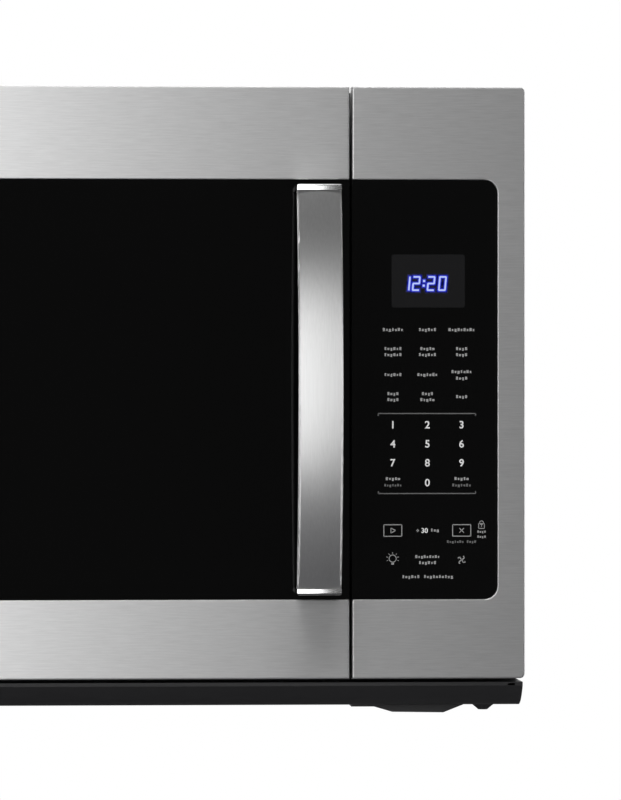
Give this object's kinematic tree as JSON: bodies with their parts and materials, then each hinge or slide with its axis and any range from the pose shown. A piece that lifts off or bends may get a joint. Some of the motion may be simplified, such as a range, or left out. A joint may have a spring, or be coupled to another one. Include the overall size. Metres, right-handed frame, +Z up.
{
  "type": "over the range microwave oven",
  "caption": "Over the range microwave with a full-height hinged door, bowed bar handle, glass touch panel, turntable, blower, grease filters and top exhaust.",
  "frame": {"origin": "on the wall face, at the middle of the width, level with the bottom edge of the door", "axes": "+X to the right of someone facing the oven, +Y into the wall, +Z up; the front faces -Y"},
  "size_m": [0.76, 0.439, 0.4534],
  "materials": {
    "acetal": "moulded",
    "aluminium_mesh": "bright",
    "black_glass": "gloss, printed black behind",
    "black_paint": "satin powder coat",
    "black_plastic": "moulded, fine texture",
    "brushed_stainless": "brushed along its length",
    "cavity_enamel": "smooth enamel",
    "circuit_board": "solder mask",
    "clear_glass": "clear, pressed",
    "copper_winding": "varnished wire",
    "display_plastic": "smoked",
    "grey_paint": "satin enamel",
    "grey_plastic": "moulded",
    "laminated_steel": "varnished laminations",
    "lens_glass": "frosted",
    "mica": "pressed mica sheet",
    "polished_steel": "polished",
    "screw_steel": "zinc plated",
    "spring_steel": "drawn wire",
    "white_plastic": "moulded",
    "zinc_steel": "zinc plated sheet"
  },
  "bodies": {
    "chassis": {"front_plate": "grey_paint", "cavity_liner": "cavity_enamel", "waveguide_cover": "mica", "outer_wrap": "black_paint", "rear_panel": "zinc_steel", "base_pan": "black_paint", "bay_intake_hood": "black_paint", "lamp_lenses": "lens_glass", "cooktop_lamps": "white_plastic", "vent_grille": "black_plastic", "charcoal_filter": "black_plastic", "turntable_motor": "zinc_steel", "blower_housing": "zinc_steel", "blower_motor": "zinc_steel", "exhaust_adaptor": "zinc_steel", "cabinet_screws": "screw_steel", "cord_bushing": "black_plastic", "waveguide": "zinc_steel", "magnetron": "zinc_steel", "transformer_core": "laminated_steel", "transformer_windings": "copper_winding", "capacitor": "aluminium_mesh", "filter_board": "circuit_board", "fan_shroud": "zinc_steel", "fan_motor": "zinc_steel", "air_duct": "grey_plastic", "cavity_lamp": "zinc_steel", "thermal_cutouts": "white_plastic", "latch_board": "white_plastic", "door_switches": "grey_plastic", "panel_housing": "black_plastic", "panel_trim": "brushed_stainless", "panel_glass": "black_glass", "control_board": "circuit_board", "display_module": "display_plastic", "hinge_lower": "zinc_steel", "hinge_upper": "zinc_steel"},
    "door": {"door_skin": "brushed_stainless", "door_glass": "black_glass", "door_frame": "black_paint", "choke_cover": "black_plastic", "inner_window": "clear_glass", "window_screen": "black_paint", "latch_spring": "spring_steel", "hinge_bushes": "acetal", "handle_bar": "brushed_stainless", "handle_end_caps": "polished_steel", "handle_screws": "screw_steel"},
    "latch": {"latch_bar": "acetal"},
    "coupler": {"turntable_coupler": "acetal"},
    "tray": {"glass_tray": "clear_glass"},
    "ring": {"roller_ring": "acetal"},
    "wheel_1": {"roller_wheel_1": "acetal"},
    "wheel_2": {"roller_wheel_2": "acetal"},
    "wheel_3": {"roller_wheel_3": "acetal"},
    "blower": {"blower_wheels": "black_plastic"},
    "fan": {"cooling_fan": "black_plastic"},
    "damper": {"damper_flap": "zinc_steel"},
    "filter_left": {"grease_filter_left": "aluminium_mesh"},
    "filter_right": {"grease_filter_right": "aluminium_mesh"}
  },
  "joints": [
    {"name": "door_hinge", "type": "hinge", "parent": "chassis", "child": "door", "pos_m": [-0.367, -0.366, 0.2], "axis": [0, 0, -1], "range_deg": [0, 100]},
    {"name": "latch_lift", "type": "slide", "parent": "door", "child": "latch", "axis": [0, 0, 1], "range_m": [0, 0.005], "stiffness_N_per_m": 300, "springref_m": -0.005, "deforming": ["latch_spring"]},
    {"name": "coupler_spin", "type": "hinge", "parent": "chassis", "child": "coupler", "pos_m": [-0.0655, -0.187, 0.0703], "axis": [0, 0, 1], "continuous": true},
    {"name": "tray_lift", "type": "slide", "parent": "coupler", "child": "tray", "axis": [0, 0, 1], "range_m": [0, 0.03]},
    {"name": "ring_roll", "type": "hinge", "parent": "chassis", "child": "ring", "pos_m": [-0.0655, -0.187, 0.0703], "axis": [0, 0, 1], "continuous": true},
    {"name": "wheel_1_roll", "type": "hinge", "parent": "ring", "child": "wheel_1", "pos_m": [-0.0655, -0.09, 0.0703], "axis": [0, -1, 0], "continuous": true},
    {"name": "wheel_2_roll", "type": "hinge", "parent": "ring", "child": "wheel_2", "pos_m": [-0.1495, -0.2355, 0.0703], "axis": [0.866, 0.5, 0], "continuous": true},
    {"name": "wheel_3_roll", "type": "hinge", "parent": "ring", "child": "wheel_3", "pos_m": [0.0185, -0.2355, 0.0703], "axis": [-0.866, 0.5, 0], "continuous": true},
    {"name": "blower_spin", "type": "hinge", "parent": "chassis", "child": "blower", "pos_m": [0, -0.06, 0.36635], "axis": [1, 0, 0], "continuous": true},
    {"name": "fan_spin", "type": "hinge", "parent": "chassis", "child": "fan", "pos_m": [0.292, -0.048, 0.262], "axis": [0, 1, 0], "continuous": true},
    {"name": "damper_swing", "type": "hinge", "parent": "chassis", "child": "damper", "pos_m": [0, -0.02495, 0.4185], "axis": [-1, 0, 0], "range_deg": [0, 80]},
    {"name": "filter_left_slide", "type": "slide", "parent": "chassis", "child": "filter_left", "axis": [0, 1, 0], "range_m": [0, 0.012]},
    {"name": "filter_right_slide", "type": "slide", "parent": "chassis", "child": "filter_right", "axis": [0, 1, 0], "range_m": [0, 0.012]}
  ],
  "couplings": [
    {"joint": "ring_roll", "follows": "coupler_spin", "ratio": 0.5},
    {"joint": "wheel_1_roll", "follows": "coupler_spin", "ratio": 6.0625},
    {"joint": "wheel_2_roll", "follows": "coupler_spin", "ratio": 6.0625},
    {"joint": "wheel_3_roll", "follows": "coupler_spin", "ratio": 6.0625}
  ]
}
